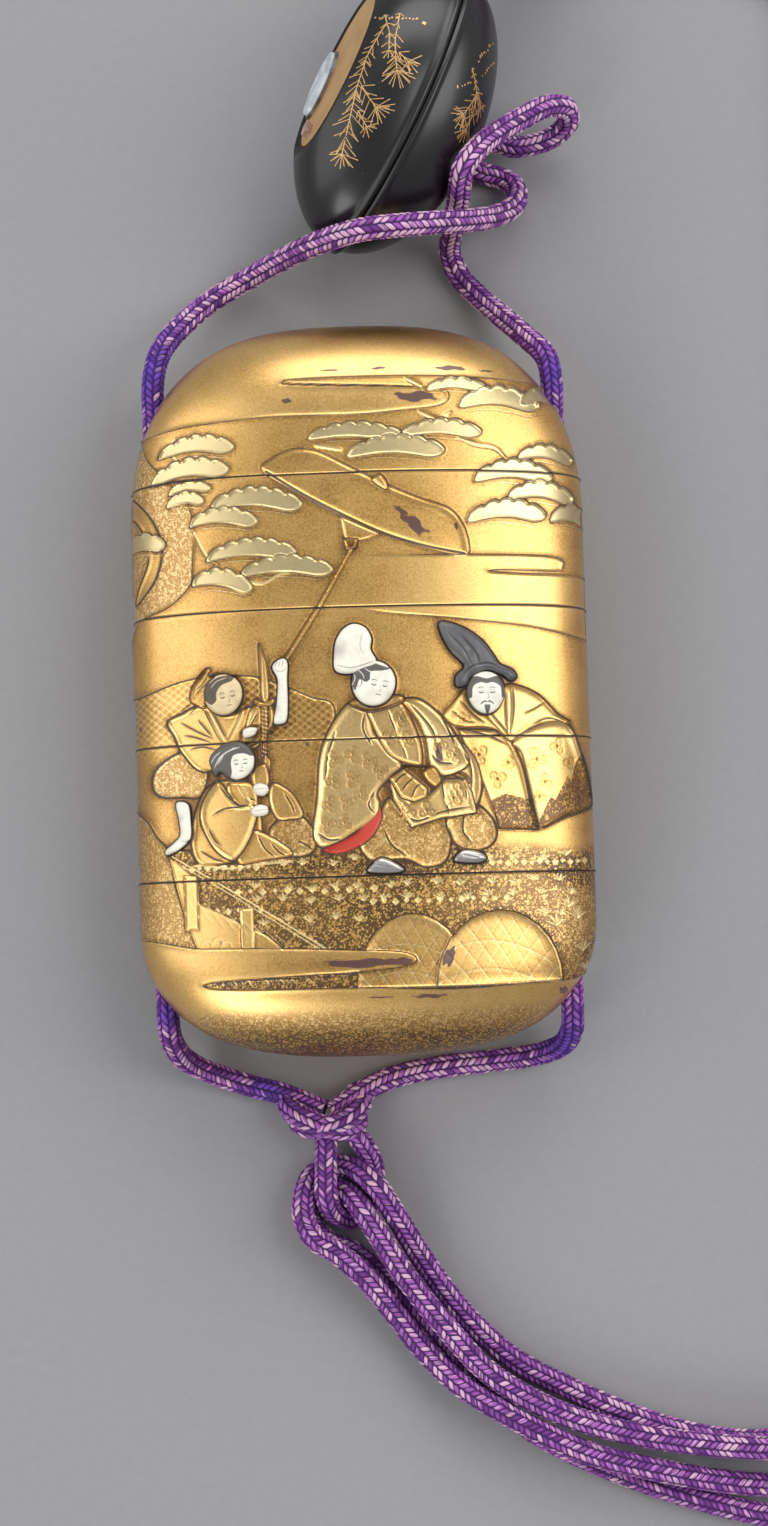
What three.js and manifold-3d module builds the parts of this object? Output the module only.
// A five-part lacquered inro (a small tiered case) with its silk cord and a hollow oval toggle.
// Millimetres. The case lies on its back: +X across it, +Y towards its lid, +Z out of its front.
// The origin is under the middle of the case, on the surface it lies on.
import * as THREE from 'three';
import { mergeVertices } from 'three/addons/utils/BufferGeometryUtils.js';
import Module from 'manifold-3d';

const wasm = await Module();
wasm.setup();

// The case as a whole.
const caseWidth = 57;
const caseLength = 92.1;
const caseDepth = 24;
const restFlat = 0.2;
const midHeight = caseDepth / 2 - restFlat;
const sectionPower = 2.3;
const shoulder = { lid: 25, foot: 17, rise: 2.2, round: 2.9 };
const edgeRoll = { lid: 13, foot: 12, rise: 2.2, round: 2.1 };
const aroundSteps = 32;
const alongSteps = 20;
const insideSteps = { around: 20, along: 14 };

// The stacked pieces, and how one slides into the next.
const seamPlaces = [25.4, 8.9, -7.1, -23.7];
const seamGap = 0.3;
const riserLength = 4.7;
const floorThickness = 1.3;
const hollow = { halfWidth: 21.2, halfDepth: 9.6 };
const riser = { halfWidth: 22.3, halfDepth: 10.6 };
const slideGap = 0.3;
const endWall = 2.4;
const channelPlace = 25.2;
const channelRadius = 1.95;

// The picture, as low relief on the front.
const lowRelief = 0.25;
const midRelief = 0.4;
const highRelief = 0.65;
const inlayHeight = 0.85;
const reliefStart = 1.5;
const inlaySeat = 0.15;
const inlayGap = 0.3;
const outlineSteps = 2;
const ovalSides = 12;

// The toggle.
const toggle = { halfLength: 19.65, halfWidth: 11, halfThickness: 11.4, wall: 2.6, power: 2.0 };
const toggleMiddle = new THREE.Vector3(6.6, 74.3, 11.1);
const toggleTurn = THREE.MathUtils.degToRad(-25.4);
const toggleLean = THREE.MathUtils.degToRad(22.5);
const toggleLip = { height: 0.35, width: 1.1 };
const panelShare = 0.8;
const toggleSides = 22;
const cordHoleRadius = 4.2;

// The cord. Its solids are a little slimmer than the 3 mm silk, which leaves room between strands.
const cordRadius = 1.35;
const cordSides = 8;

const finishes = {
  gold: new THREE.MeshStandardMaterial({ color: 0xb98c3a, roughness: 0.38, metalness: 0.85 }),
  whiteInlay: new THREE.MeshStandardMaterial({ color: 0xe6e0d2, roughness: 0.45, metalness: 0.1 }),
  blackInlay: new THREE.MeshStandardMaterial({ color: 0x2b2a2c, roughness: 0.4, metalness: 0.1 }),
  greyInlay: new THREE.MeshStandardMaterial({ color: 0x8f979c, roughness: 0.35, metalness: 0.6 }),
  blackLacquer: new THREE.MeshStandardMaterial({ color: 0x0b0b0d, roughness: 0.12, metalness: 0.0 }),
  silk: new THREE.MeshStandardMaterial({ color: 0x6b2fa0, roughness: 0.75, metalness: 0.0 }),
};

function toSolid(geometry) {
  const bare = geometry.clone();
  bare.deleteAttribute('normal');
  bare.deleteAttribute('uv');
  const merged = mergeVertices(bare, 1e-5);
  return new wasm.Manifold(new wasm.Mesh({
    numProp: 3,
    vertProperties: new Float32Array(merged.attributes.position.array),
    triVerts: new Uint32Array(merged.index.array),
  }));
}

function toNode(solid, name, finish) {
  const { vertProperties, triVerts } = solid.getMesh();
  const geometry = new THREE.BufferGeometry();
  geometry.setAttribute('position', new THREE.BufferAttribute(new Float32Array(vertProperties), 3));
  geometry.setIndex(new THREE.BufferAttribute(new Uint32Array(triVerts), 1));
  geometry.computeVertexNormals();
  const node = new THREE.Mesh(geometry, finish);
  node.name = name;
  return node;
}

const joined = (solids) => solids.reduce((whole, next) => whole.add(next));

function block(x0, x1, y0, y1, z0, z1) {
  const box = new THREE.BoxGeometry(x1 - x0, y1 - y0, z1 - z0);
  return toSolid(box.translate((x0 + x1) / 2, (y0 + y1) / 2, (z0 + z1) / 2));
}

// How wide or deep the case still is at a height y, as a share of its middle.
function share(y, { lid, foot, rise, round }) {
  const fromEnd = (distance, reach) => THREE.MathUtils.clamp(distance / reach, 0, 1);
  const curve = (t) => Math.pow(1 - Math.pow(1 - t, rise), 1 / round);
  return curve(fromEnd(caseLength / 2 - y, lid)) * curve(fromEnd(caseLength / 2 + y, foot));
}

const superSide = (value) => Math.sign(value) * Math.pow(Math.abs(value), 2 / sectionPower);

// The case's form, scaled to any half width, half depth and half length.
function caseForm(halfWidth, halfDepth, halfLength = caseLength / 2, steps = [aroundSteps, alongSteps]) {
  const form = new THREE.SphereGeometry(1, ...steps);
  const place = form.attributes.position;
  for (let i = 0; i < place.count; i += 1) {
    const y = THREE.MathUtils.clamp(place.getY(i), -1, 1);
    const angle = Math.atan2(place.getZ(i), place.getX(i));
    const atPole = Math.abs(y) > 1 - 1e-9;
    const fullY = y * caseLength / 2;
    const width = atPole ? 0 : halfWidth * share(fullY, shoulder);
    const depth = atPole ? 0 : halfDepth * share(fullY, edgeRoll);
    place.setXYZ(
      i,
      width * superSide(Math.cos(angle)),
      y * halfLength,
      midHeight + depth * superSide(Math.sin(angle)),
    );
  }
  return toSolid(form);
}

const grownFace = (height) => caseForm(caseWidth / 2, caseDepth / 2 + height);

// A straight sleeve of the case's own section, for the risers and the spaces that they slide in.
function sleeve(halfWidth, halfDepth, y0, y1) {
  const outline = new THREE.Shape();
  for (let i = 0; i < insideSteps.around; i += 1) {
    const angle = (i / insideSteps.around) * Math.PI * 2;
    const x = halfWidth * superSide(Math.cos(angle));
    const z = halfDepth * superSide(Math.sin(angle));
    if (i === 0) outline.moveTo(x, z);
    else outline.lineTo(x, z);
  }
  outline.closePath();
  const prism = new THREE.ExtrudeGeometry(outline, { depth: y1 - y0, bevelEnabled: false });
  prism.rotateX(Math.PI / 2).translate(0, y1, midHeight);
  return toSolid(prism);
}

function channel(side) {
  const rod = new THREE.CylinderGeometry(channelRadius, channelRadius, caseLength + 10, 8);
  return toSolid(rod.translate(side * channelPlace, 0, midHeight));
}

// ---- the picture's outlines, on the front, in x and y ----

const smooth = (points) => new THREE.SplineCurve(
  [...points, points[0]].map(([x, y]) => new THREE.Vector2(x, y)),
).getPoints(points.length * outlineSteps).slice(0, -1);

// A pine pad: a flat base and a row of round lobes over it.
function pinePad(x, y, width, height, lobes) {
  const points = [];
  for (let lobe = 0; lobe < lobes; lobe += 1) {
    for (const step of [0.15, 0.6]) {
      const along = (lobe + step) / lobes;
      const dome = Math.sin(Math.PI * (0.12 + 0.76 * along));
      const puff = step === 0.6 ? 0.2 : 0;
      points.push(new THREE.Vector2(x + (along - 0.5) * width, y + height * (dome * 0.62 + puff)));
    }
  }
  points.push(new THREE.Vector2(x + width * 0.5, y + height * 0.02));
  points.push(new THREE.Vector2(x, y - height * 0.14));
  points.push(new THREE.Vector2(x - width * 0.5, y + height * 0.02));
  return points.reverse();
}

// A half-round dome such as a stone-filled basket on a river bank.
function dome(x, y, width, height) {
  const points = [];
  for (let i = 0; i <= 8; i += 1) {
    const angle = (i / 8) * Math.PI;
    points.push(new THREE.Vector2(x + Math.cos(angle) * width / 2, y + Math.sin(angle) * height));
  }
  return points;
}

function bar(x0, y0, x1, y1, thickness) {
  const along = new THREE.Vector2(x1 - x0, y1 - y0).normalize();
  const aside = new THREE.Vector2(-along.y, along.x).multiplyScalar(thickness / 2);
  return [
    new THREE.Vector2(x0, y0).sub(aside), new THREE.Vector2(x1, y1).sub(aside),
    new THREE.Vector2(x1, y1).add(aside), new THREE.Vector2(x0, y0).add(aside),
  ];
}

function oval(x, y, halfWidth, halfHeight, turn = 0) {
  const points = [];
  for (let i = 0; i < ovalSides; i += 1) {
    const angle = (i / ovalSides) * Math.PI * 2;
    points.push(new THREE.Vector2(Math.cos(angle) * halfWidth, Math.sin(angle) * halfHeight)
      .rotateAround(new THREE.Vector2(), turn).add(new THREE.Vector2(x, y)));
  }
  return points;
}

const mists = [
  smooth([[-27.5, 32.2], [-10, 32.6], [6, 32.9], [11.2, 33.8], [10.4, 35.6], [2, 36.1], [-12, 36.6],
    [-26.5, 36]]),
  smooth([[-2, 14.9], [24, 14.9], [25.2, 14], [24, 13.2], [17, 13.2], [17, 12.7], [28, 12.4],
    [28, 6.4], [14, 7], [-2, 11]]),
  smooth([[-26.5, -32.2], [-8, -32.2], [4, -32.6], [5.8, -33.8], [3.4, -35], [-8, -35.4],
    [-19.5, -36], [-26, -36.4]]),
];
const hill = smooth([[-27.8, -1.6], [-20, 1.1], [-11, 0.4], [-4, -3.4], [-3.6, -7], [-8, -17],
  [-26, -17]]);
const trunk = smooth([[-28.2, 22], [-25.8, 27.6], [-23.4, 25.4], [-20.4, 21.4], [-19.6, 16.4],
  [-20.6, 12.6], [-24, 10], [-28.2, 7.4]]);
const pines = [
  [-19.5, 29, 9, 3.4, 5], [-20, 25.9, 10.5, 3.4, 5], [-12.3, 21.9, 11, 3.6, 5],
  [-16.2, 19.9, 8, 3, 4], [-13, 15.7, 10.5, 3.3, 5], [-9, 13.4, 11, 3, 5], [-16.4, 12.2, 7, 3, 4],
  [0.2, 29.8, 11, 3.2, 5], [10.6, 30, 9.6, 3.2, 4], [5, 27.6, 11.4, 3.4, 5],
  [18, 33.9, 9.6, 3.4, 5], [23.5, 27.4, 7, 2.8, 4], [19.4, 24.7, 9.4, 3.2, 5],
  [18.4, 19.6, 9, 3.2, 5], [22.6, 22.2, 7.6, 2.6, 4],
].map((pad) => pinePad(...pad));
const parasol = smooth([[-11.2, 26.1], [-8.6, 28], [-4.4, 28.1], [4.4, 23.6], [10.4, 20.9],
  [13, 18.6], [13.6, 15.4], [8.4, 15.9], [3, 17.8], [-4.6, 21.8]]);
const parasolPole = bar(-0.9, 16.6, -9.2, 2.6, 0.75);
const baskets = [dome(5.2, -36.6, 13.6, 8.2), dome(16, -36.9, 15, 8.3)];
const attendant = smooth([[-19.4, -2.6], [-23.8, -4], [-22.6, -7.6], [-25.8, -9.6], [-26, -12.6],
  [-22.8, -14], [-19.6, -12.8], [-16, -9.6], [-12, -7.6], [-12.8, -4], [-14.6, -2.6]]);
const kneeler = smooth([[-18.4, -11.6], [-20.6, -14.4], [-22.2, -19.4], [-20.8, -21.2],
  [-14, -21.8], [-8.6, -21], [-7, -18.6], [-8.8, -16.2], [-10.6, -12.6], [-13.6, -11.6]]);
const courtier = smooth([[-0.6, -3.2], [-3.6, -5.2], [-5.6, -10], [-6.6, -18.6], [-4.4, -20.6],
  [-1, -20.4], [2.4, -22.6], [6.6, -23], [9, -20.4], [12, -21.4], [14.8, -20], [15, -13.6],
  [12.6, -8.6], [9.4, -4.6], [4.6, -3]]);
const sitter = smooth([[13, -1.9], [10, -4.6], [11.4, -7.8], [13.6, -10], [15, -14], [15.2, -18.6],
  [20, -19.2], [21.4, -18.6], [27.4, -16], [27.4, -13], [25.6, -7.4], [22.4, -4], [18.4, -1.9]]);

const inlays = [
  ['courtier_cap_inlay', 'whiteInlay', smooth([[-2.9, 1], [-2.9, 4.4], [-0.9, 6.5], [1.2, 5],
    [1.2, 2.6], [1.7, 1.7], [-0.6, 0.9]])],
  ['courtier_face_inlay', 'whiteInlay', oval(1.7, -0.95, 2.25, 1.95, -0.2)],
  ['sitter_cap_inlay', 'blackInlay', smooth([[10.1, 6.2], [10.6, 3.4], [13, 0.9], [12, 0], [12.8, -0.7],
    [15.4, 0.9], [18, -0.4], [18.6, 0.2], [17, 1.2], [15.6, 3.2], [13.4, 5.2]])],
  ['sitter_face_inlay', 'whiteInlay', oval(15.4, -1.55, 2, 1.75)],
  ['attendant_face_inlay', 'whiteInlay', oval(-16.4, -1.2, 2.2, 1.9)],
  ['attendant_arm_inlay', 'whiteInlay', smooth([[-10.2, 2.2], [-8.6, 2.3], [-8.6, -3.8],
    [-10.4, -4.8], [-9.8, -1]])],
  ['attendant_leg_inlay', 'whiteInlay', smooth([[-23.6, -14.9], [-21.7, -14.9], [-21.9, -18],
    [-22.6, -19], [-24.9, -19.4], [-23.6, -17.8]])],
  ['kneeler_face_inlay', 'whiteInlay', oval(-14.9, -9.4, 1.7, 1.5)],
  ['courtier_left_shoe_inlay', 'greyInlay', smooth([[0.4, -22.9], [1.6, -21.6], [4.4, -22.5],
    [3.6, -23.25], [1.2, -23.35]])],
  ['courtier_right_shoe_inlay', 'greyInlay', smooth([[10.6, -22], [11.8, -20.9], [14.4, -21.4],
    [14.4, -22.4], [12.6, -22.6]])],
];

function prism(outline) {
  const form = new THREE.ExtrudeGeometry(new THREE.Shape(outline), {
    depth: caseDepth / 2, bevelEnabled: false,
  });
  return toSolid(form.translate(0, 0, midHeight + reliefStart));
}

// Moves every point of an outline outward by a small distance.
function widened(outline, distance) {
  const turnsLeft = THREE.ShapeUtils.area(outline) > 0 ? 1 : -1;
  return outline.map((point, i) => {
    const before = outline[(i + outline.length - 1) % outline.length];
    const after = outline[(i + 1) % outline.length];
    const along = after.clone().sub(before).normalize();
    return new THREE.Vector2(along.y, -along.x).multiplyScalar(turnsLeft * distance).add(point);
  });
}

const raised = (outlines, height) => joined(outlines.map(prism)).intersect(grownFace(height));

function pictureRelief() {
  return joined([
    raised([...mists, hill], lowRelief),
    raised([...pines, trunk, parasol, parasolPole, ...baskets], midRelief),
    raised([attendant, kneeler, courtier, sitter], highRelief),
  ]);
}

// ---- the case ----

function buildCase() {
  const outside = caseForm(caseWidth / 2, caseDepth / 2)
    .subtract(block(-caseWidth, caseWidth, -caseLength, caseLength, -5, 0));
  const innerForm = caseForm(hollow.halfWidth, hollow.halfDepth, caseLength / 2 - endWall,
    [insideSteps.around, insideSteps.along]);
  const dressed = outside.add(pictureRelief());
  const floors = inlays.map(([, , outline]) => prism(widened(outline, inlayGap)));
  const seats = joined(floors).subtract(grownFace(-inlaySeat - inlayGap));
  const whole = dressed.subtract(seats).subtract(channel(1)).subtract(channel(-1));

  const names = ['lid', 'upper_tray', 'middle_tray', 'lower_tray', 'bottom_tray'];
  const edges = [caseLength, ...seamPlaces, -caseLength];
  return names.map((name, i) => {
    const top = edges[i] - (i === 0 ? 0 : seamGap / 2);
    const foot = edges[i + 1] + (i === 4 ? 0 : seamGap / 2);
    let piece = whole.intersect(block(-caseWidth, caseWidth, foot, top, -5, caseDepth + 5));
    const mouth = top + riserLength;
    if (i > 0) {
      piece = piece.add(sleeve(riser.halfWidth, riser.halfDepth, top - 1, mouth));
    }
    if (i < 4) {
      const socket = { halfWidth: riser.halfWidth + slideGap, halfDepth: riser.halfDepth + slideGap };
      const socketTop = foot + riserLength;
      piece = piece.subtract(sleeve(socket.halfWidth, socket.halfDepth, foot - 1, socketTop));
    }
    const inside = foot + (i < 4 ? riserLength + floorThickness : 0);
    const hollowTop = i === 0 ? caseLength : mouth + 1;
    const hollowFoot = i === 0 ? foot - 1 : (i === 4 ? -caseLength : inside);
    const space = innerForm.intersect(
      block(-caseWidth, caseWidth, hollowFoot, hollowTop, -5, caseDepth + 5),
    );
    return toNode(piece.subtract(space), name, finishes.gold);
  });
}

function buildInlays() {
  const top = grownFace(inlayHeight);
  const under = grownFace(-inlaySeat);
  return inlays.map(([name, finish, outline]) => (
    toNode(prism(outline).intersect(top).subtract(under), name, finishes[finish])
  ));
}

// ---- the toggle ----

// Half of the toggle as a closed bowl: its profile is turned, then stretched to an oval.
function toggleHalf(side) {
  const { halfLength, halfWidth, halfThickness, wall, power } = toggle;
  const steps = 6;
  const halfGap = 0.15;
  const profile = [];
  const dome = (radius, height) => {
    const row = [];
    for (let i = 0; i <= steps; i += 1) {
      const angle = (i / steps) * Math.PI / 2;
      row.push(new THREE.Vector2(radius * Math.pow(Math.sin(angle), 2 / power),
        halfGap + height * Math.pow(Math.cos(angle), 2 / power)));
    }
    return row;
  };
  const outer = dome(halfWidth, halfThickness - halfGap);
  const inner = dome(halfWidth - wall, halfThickness - halfGap - wall).reverse();
  const lip = [
    new THREE.Vector2(halfWidth + toggleLip.height * 0.2, toggleLip.width + 0.3),
    new THREE.Vector2(halfWidth + toggleLip.height, toggleLip.width * 0.6),
    new THREE.Vector2(halfWidth + toggleLip.height, halfGap + 0.1),
  ];
  profile.push(...outer.slice(0, -2), ...lip, outer[steps], ...inner);
  profile[0].x = 0;
  profile[profile.length - 1].x = 0;
  const bowl = new THREE.LatheGeometry(profile.reverse(), toggleSides);
  bowl.scale(halfLength / halfWidth, 1, 1);
  let solid = toSolid(bowl);
  if (solid.volume() < 0) throw new Error('the toggle half is inside out');
  if (side < 0) {
    solid = solid.intersect(block(-30, 30, -1, halfThickness * panelShare, -30, 30));
    solid = solid.add(toggleBack(halfThickness * panelShare, wall));
  }
  const pose = new THREE.Matrix4().makeTranslation(toggleMiddle)
    .multiply(new THREE.Matrix4().makeRotationZ(toggleTurn + Math.PI / 2))
    .multiply(new THREE.Matrix4().makeRotationX(toggleLean))
    .multiply(new THREE.Matrix4().makeRotationX(side < 0 ? 0 : Math.PI));
  return solid.transform(pose.elements);
}

// The flat panel that closes the front half, where its dome is cut off.
function toggleBack(height, wall) {
  const { halfLength, halfWidth, halfThickness } = toggle;
  const reach = Math.sqrt(1 - (height / halfThickness) ** 2);
  const plate = new THREE.CylinderGeometry(halfWidth * reach * 0.985, halfWidth * reach, wall, toggleSides);
  plate.scale(halfLength / halfWidth, 1, 1).translate(0, height - wall / 2 - 0.01, 0);
  return toSolid(plate);
}

function buildToggle() {
  const along = new THREE.Vector3(-Math.sin(toggleTurn), Math.cos(toggleTurn), 0);
  const hole = new THREE.CylinderGeometry(cordHoleRadius, cordHoleRadius, 16, 16);
  hole.rotateZ(toggleTurn);
  const end = toggleMiddle.clone().addScaledVector(along, toggle.halfLength);
  const cutter = toSolid(hole.translate(end.x, end.y, end.z));
  const underFlat = block(-40, 60, 40, 120, -10, restFlat);
  const finish = (side) => toggleHalf(side).subtract(cutter).subtract(underFlat);
  return [
    toNode(finish(-1), 'toggle_front', finishes.blackLacquer),
    toNode(finish(1), 'toggle_back', finishes.blackLacquer),
  ];
}

// ---- the cord ----

function roundSection(radius) {
  const section = new THREE.Shape();
  for (let i = 0; i < cordSides; i += 1) {
    const angle = ((i + 0.5) / cordSides) * Math.PI * 2;
    const x = radius * Math.cos(angle);
    const y = radius * Math.sin(angle);
    if (i === 0) section.moveTo(x, y);
    else section.lineTo(x, y);
  }
  return section;
}

function tube(name, route, steps) {
  const path = new THREE.CatmullRomCurve3(
    route.map(([x, y, z]) => new THREE.Vector3(x, y, z)), false, 'centripetal',
  );
  const form = new THREE.ExtrudeGeometry(roundSection(cordRadius), {
    steps, extrudePath: path, bevelEnabled: false,
  });
  return toNode(toSolid(form), name, finishes.silk);
}

const channelEnds = { low: -36, high: 34 };
const topLoop = [
  [-25.2, 34.3, 11.8], [-25.2, 39.4, 11.8], [-24.4, 43.6, 10.2], [-21.6, 48.4, 6], [-17.4, 52.6, 2.8],
  [-12.4, 55.2, 3.4], [-7.8, 56.2, 8.6], [-3.4, 56.2, 15.2], [1.4, 56.4, 19.4], [6.2, 56.8, 19.6],
  [11.2, 57.8, 16.8], [15.6, 59.2, 12.4], [18.9, 60.9, 7.8], [21.2, 62.7, 4.8], [22.2, 64.8, 3],
  [21.6, 66.8, 1.9], [19.9, 67.9, 1.5], [18, 68.4, 1.5], [16.2, 69.6, 1.6], [15.9, 71.4, 2],
  [17.4, 72.7, 2.6], [19.6, 72.2, 3], [22, 71.4, 3], [24.7, 71.7, 3], [27.4, 72.6, 3.4],
  [29, 73.9, 5], [28.6, 75, 7.2], [26.2, 74.7, 9.2], [22.7, 72.5, 11.4], [19.7, 70.2, 13.6],
  [16.8, 67.4, 16.2], [14.8, 64.7, 16.8], [14.2, 62.1, 12.2], [13.6, 60.2, 6], [13.2, 58, 2.4],
  [14.2, 55.2, 1.5], [16.6, 52.2, 1.8], [19.6, 48.8, 4], [22.4, 45.2, 7.6], [24.7, 41.8, 10.8],
  [25.2, 38.8, 11.8], [25.2, 34.3, 11.8],
];
const leftFoot = [
  [-25.2, -36.3, 11.8], [-25.2, -40.4, 11.7], [-25, -43.4, 9.2], [-23.4, -46.2, 4.8],
  [-19.8, -48.2, 2], [-15.4, -49.8, 1.5], [-11.6, -50.8, 2.2],
];
const rightFoot = [
  [25.2, -36.3, 11.8], [25.2, -40.8, 11.7], [25.2, -43.4, 9.2], [24, -45.6, 5], [20.8, -46.8, 2.2],
  [15.6, -47.4, 1.5], [9.4, -47.9, 1.5], [3.4, -48.9, 1.6], [0.2, -50, 2.4],
];

// The four strands run out of the knot side by side, up past the case and into the toggle's end.
const straightRun = { low: -50, high: 50 };
const runOuts = {
  outer_upper: [
    [2.4, -66.4, 4.2], [5.7, -72.2, 2.3], [9.8, -78.2, 1.5], [16.3, -84.8, 1.5], [23.8, -89.1, 1.5],
    [31.2, -92.6, 1.5], [40.5, -95.6, 1.5], [49, -96.4, 1.5], [55.4, -94.8, 1.5], [59.4, -90, 1.5],
    [60.4, -82, 1.5], [60.4, -50.3, 1.5],
  ],
  inner_upper: [
    [0.6, -69.4, 5.2], [3.8, -74.6, 4.8], [7.9, -80, 4.6], [13.6, -86.4, 4.5], [21.4, -91.2, 4.5],
    [29.4, -94, 4.5], [38.6, -95.8, 4.6], [49, -96.8, 4.6], [56.4, -96.2, 4.4], [61.6, -92.4, 3],
    [63.6, -84, 1.6], [63.6, -50.3, 1.5],
  ],
  outer_lower: [
    [-5, -71, 4.4], [-1.6, -74.2, 4.4], [1.8, -78.6, 3.4], [5, -83, 3], [9.6, -87.6, 4.2],
    [15, -91.2, 4.6], [20.4, -94.2, 4.6], [26, -96.8, 4.6], [34.7, -99.2, 4.3], [42, -101, 2.6],
    [49, -102, 1.5], [58, -101.6, 1.5], [64.4, -96.4, 1.5], [66.8, -86, 1.5], [66.8, -50.3, 1.5],
  ],
  inner_lower: [
    [-2.4, -71.6, 1.4], [1, -75, 1.4], [4.6, -79, 1.4], [7.8, -82.8, 1.4], [11.2, -87.2, 1.4],
    [15.2, -91.4, 1.4], [20, -95, 1.4], [26.4, -98.4, 1.4], [34.7, -101.8, 1.4], [42, -104.2, 1.4],
    [49, -105.8, 1.4], [59, -105.2, 1.4], [67, -99, 1.4], [70, -87, 1.4], [70, -50.3, 1.4],
  ],
};
const returns = {
  outer_upper: [
    [60.4, 50.3, 1.5], [60.4, 78, 1.5], [60, 90.6, 1.5], [54.8, 96.4, 1.5], [43, 98, 1.5],
    [31.5, 98.8, 2.4], [24.4, 98.8, 6], [19.4, 95.8, 8.8], [16.5, 91.4, 9.5], [15.3, 88.9, 9.5],
  ],
  inner_upper: [
    [63.6, 50.3, 1.5], [63.6, 80, 1.5], [62.6, 93.2, 1.5], [55.8, 99.6, 1.5], [43, 101.4, 1.8],
    [31, 102, 5.4], [24.4, 100.8, 10], [19.4, 96.6, 12.4], [16.5, 91.4, 12.7], [15.3, 88.9, 12.7],
  ],
  outer_lower: [
    [66.8, 50.3, 1.5], [66.8, 82, 1.5], [65.4, 96, 1.5], [56.8, 102.8, 1.5], [43, 104.8, 1.5],
    [29, 105.2, 3.6], [20.6, 102.6, 7.4], [16.2, 98, 9.2], [13.6, 92.7, 9.5], [12.4, 90.3, 9.5],
  ],
  inner_lower: [
    [70, 50.3, 1.4], [70, 84, 1.4], [68.2, 98.8, 1.4], [58, 106, 1.4], [43, 108.2, 1.8],
    [28, 108, 6.6], [20, 105, 11], [15.9, 99.2, 12.7], [13.6, 92.7, 12.7], [12.4, 90.3, 12.7],
  ],
};
const bights = {
  outer: [
    [2.15, -66, 4.2], [0, -62.6, 4.5], [-3.1, -60.2, 2.7], [-6.2, -59.7, 1.5], [-8.9, -60.7, 2.4],
    [-10.2, -63.6, 4], [-10, -66.8, 4.7], [-8.2, -69.2, 4.7], [-5.3, -70.75, 4.4],
  ],
  inner: [
    [0.4, -69.1, 5.2], [-1.7, -65.7, 5], [-3.8, -63.5, 2.8], [-6.2, -63, 1.4], [-8.1, -64.4, 1.4],
    [-8.4, -67, 1.4], [-6.6, -69.6, 1.4], [-2.75, -71.5, 1.4],
  ],
};

// The overhand knot under the case: a wrapped band, and two legs that close to a small eye.
function buildKnot() {
  const puff = (x, y, z, rx, ry, rz, turn) => toSolid(new THREE.SphereGeometry(1, 8, 6)
    .scale(rx, ry, rz).rotateZ(turn).translate(x, y, z));
  const wrap = [
    puff(-8.2, -53.2, 3.4, 3.2, 2.3, 2.6, -0.5),
    puff(-4.2, -53.1, 3.6, 3.4, 2.3, 2.7, 0.6),
    puff(-6, -54.6, 3.4, 3, 2, 2.6, 0),
  ];
  const eye = [
    [-6, -55.2, 4.8], [-6.2, -58, 4.9], [-6.3, -61, 4.9], [-6.3, -63.8, 4.8], [-5.4, -65.9, 3],
    [-3.2, -66.9, 1.5], [-0.4, -65.6, 1.4], [0.9, -62.6, 1.4], [0.3, -59.6, 1.6], [-1.8, -57, 2.8],
    [-4, -55, 3.4],
  ];
  const loop = new THREE.CatmullRomCurve3(
    eye.map(([x, y, z]) => new THREE.Vector3(x, y, z)), false, 'centripetal',
  );
  const ring = new THREE.ExtrudeGeometry(roundSection(cordRadius), { steps: 14, extrudePath: loop, bevelEnabled: false });
  return toNode(joined([...wrap, toSolid(ring)]), 'knot', finishes.silk);
}

function buildCords() {
  const inChannel = (side) => [
    [side * channelPlace, channelEnds.low, 11.8], [side * channelPlace, channelEnds.high, 11.8],
  ];
  const strands = Object.keys(runOuts).flatMap((strand) => {
    const [x, , z] = runOuts[strand].at(-1);
    const straight = [[x, straightRun.low, z], [x, straightRun.high, z]];
    return [
      tube(`strand_${strand}_out`, runOuts[strand], 11),
      tube(`strand_${strand}_side`, straight, 1),
      tube(`strand_${strand}_back`, returns[strand], 9),
    ];
  });
  return [
    tube('cord_top_loop', topLoop, 36),
    tube('cord_left_channel', inChannel(-1), 1),
    tube('cord_right_channel', inChannel(1), 1),
    tube('cord_left_foot', leftFoot, 5),
    tube('cord_right_foot', rightFoot, 6),
    ...strands,
    tube('bight_outer', bights.outer, 8),
    tube('bight_inner', bights.inner, 7),
    buildKnot(),
  ];
}

const inro = new THREE.Group();
inro.add(...buildCase(), ...buildInlays(), ...buildToggle(), ...buildCords());

export default inro;
